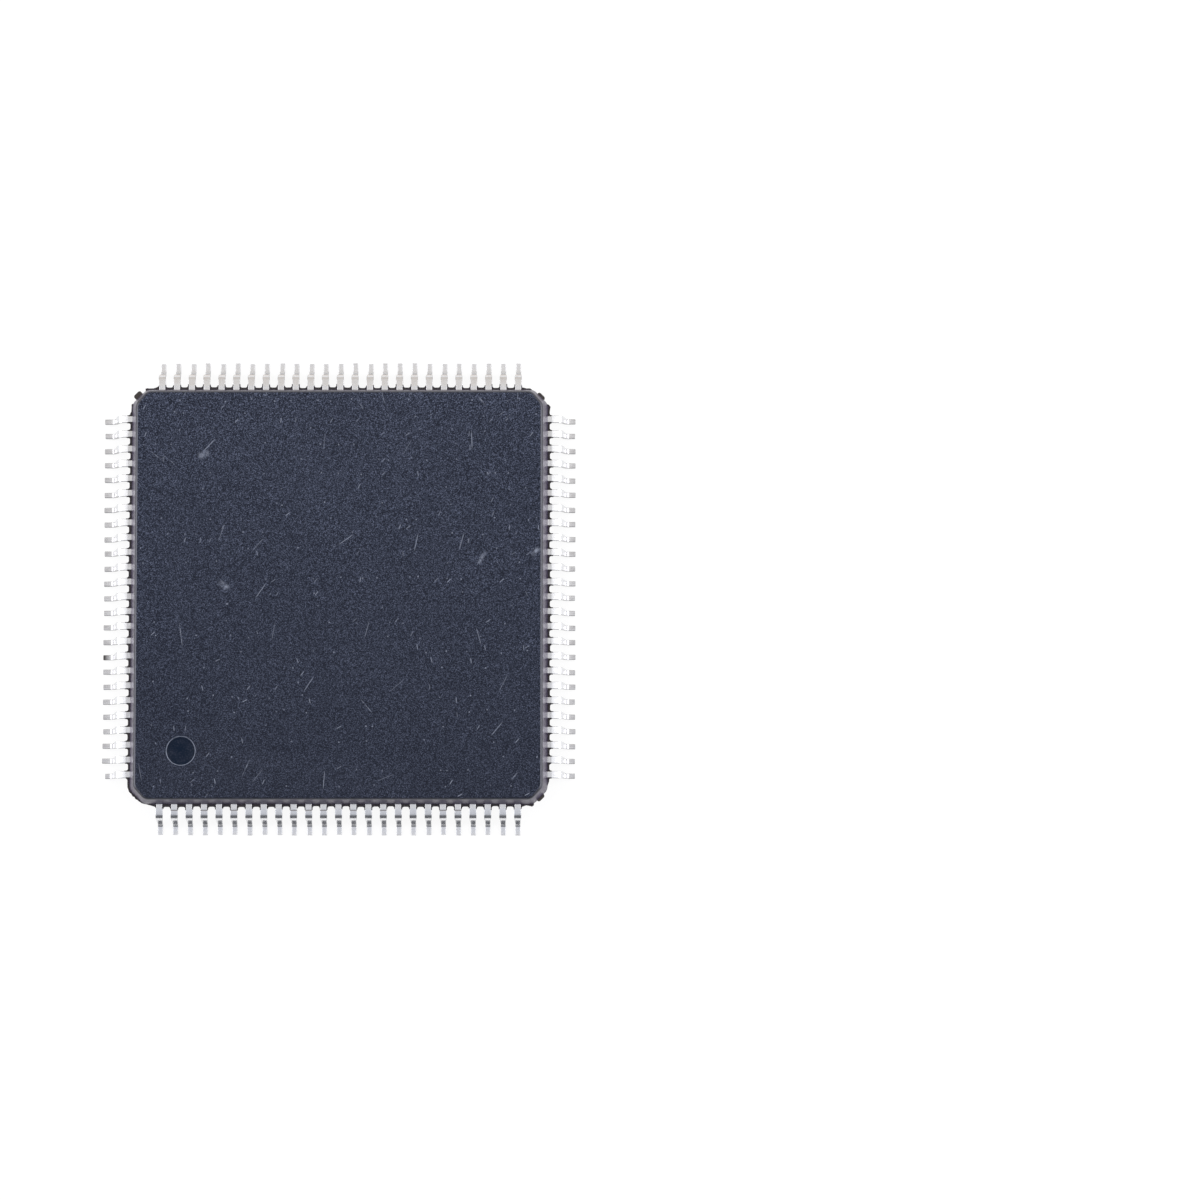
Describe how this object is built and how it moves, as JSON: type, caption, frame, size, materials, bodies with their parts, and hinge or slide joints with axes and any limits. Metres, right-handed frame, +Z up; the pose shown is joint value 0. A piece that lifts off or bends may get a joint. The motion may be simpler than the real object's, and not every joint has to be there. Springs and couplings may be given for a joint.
{
  "type": "integrated circuit",
  "caption": "Surface-mount integrated circuit: thin square dark resin body with fine-pitch gull-wing leads on all four sides, index dimple, and lead frame, chip and bond wires inside",
  "frame": {"origin": "centre of the seating plane under the feet", "axes": "+Z is up, out of the top face; +X is to the right and +Y up the picture, with the index dimple in the corner at -X -Y"},
  "size_m": [0.016, 0.016, 0.0015],
  "materials": {
    "resin": "fine spark-eroded texture, matte",
    "plated_lead": "matte tin plating",
    "frame_copper": "rolled copper alloy",
    "glue": "silver-filled epoxy",
    "silicon": "polished silicon",
    "gold_wire": "drawn gold wire"
  },
  "bodies": {
    "root": {"moulded_body": "resin", "leads_east": "plated_lead", "leads_north": "plated_lead", "leads_west": "plated_lead", "leads_south": "plated_lead", "chip_pad": "frame_copper", "chip_glue": "glue", "chip": "silicon", "bond_wires_east": "gold_wire", "bond_wires_north": "gold_wire", "bond_wires_west": "gold_wire", "bond_wires_south": "gold_wire"}
  },
  "joints": []
}
